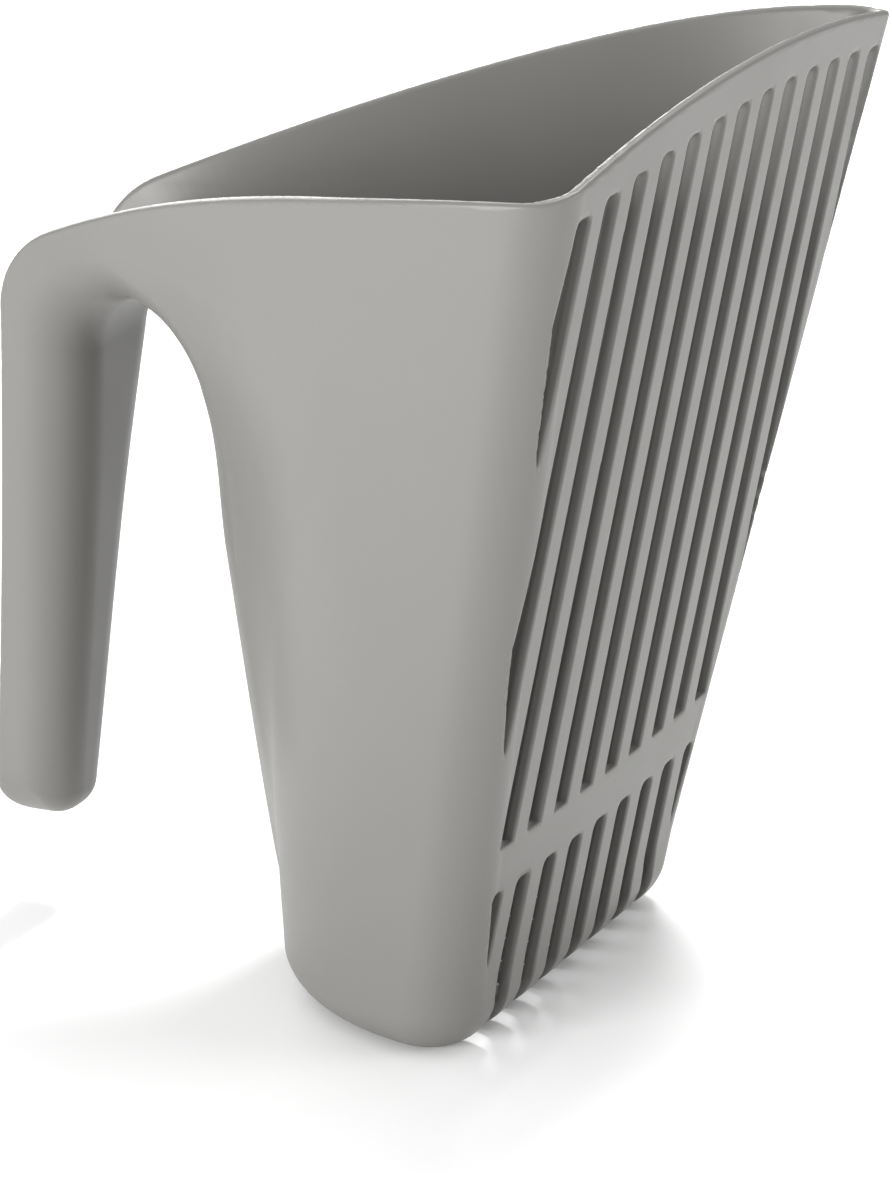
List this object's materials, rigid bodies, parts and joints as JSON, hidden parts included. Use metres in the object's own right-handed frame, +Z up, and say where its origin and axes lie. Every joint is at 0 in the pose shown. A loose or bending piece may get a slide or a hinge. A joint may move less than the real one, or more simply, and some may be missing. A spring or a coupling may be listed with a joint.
{
  "type": "sifting scoop",
  "caption": "One-piece plastic sifting scoop: open bucket with a slotted front wall, one cross band and a channel handle hooked down behind it.",
  "frame": {"origin": "on the floor plane, under the middle of the scoop's bounding box", "axes": "+Z up through the open top, -Y towards the slotted front, +Y towards the handle, +X to the side"},
  "size_m": [0.1716, 0.1557, 0.1868],
  "materials": {
    "plastic": "satin"
  },
  "bodies": {
    "root": {"bowl": "plastic", "handle": "plastic", "cross_band": "plastic", "upper_bars": "plastic", "lower_bars": "plastic"}
  },
  "joints": []
}
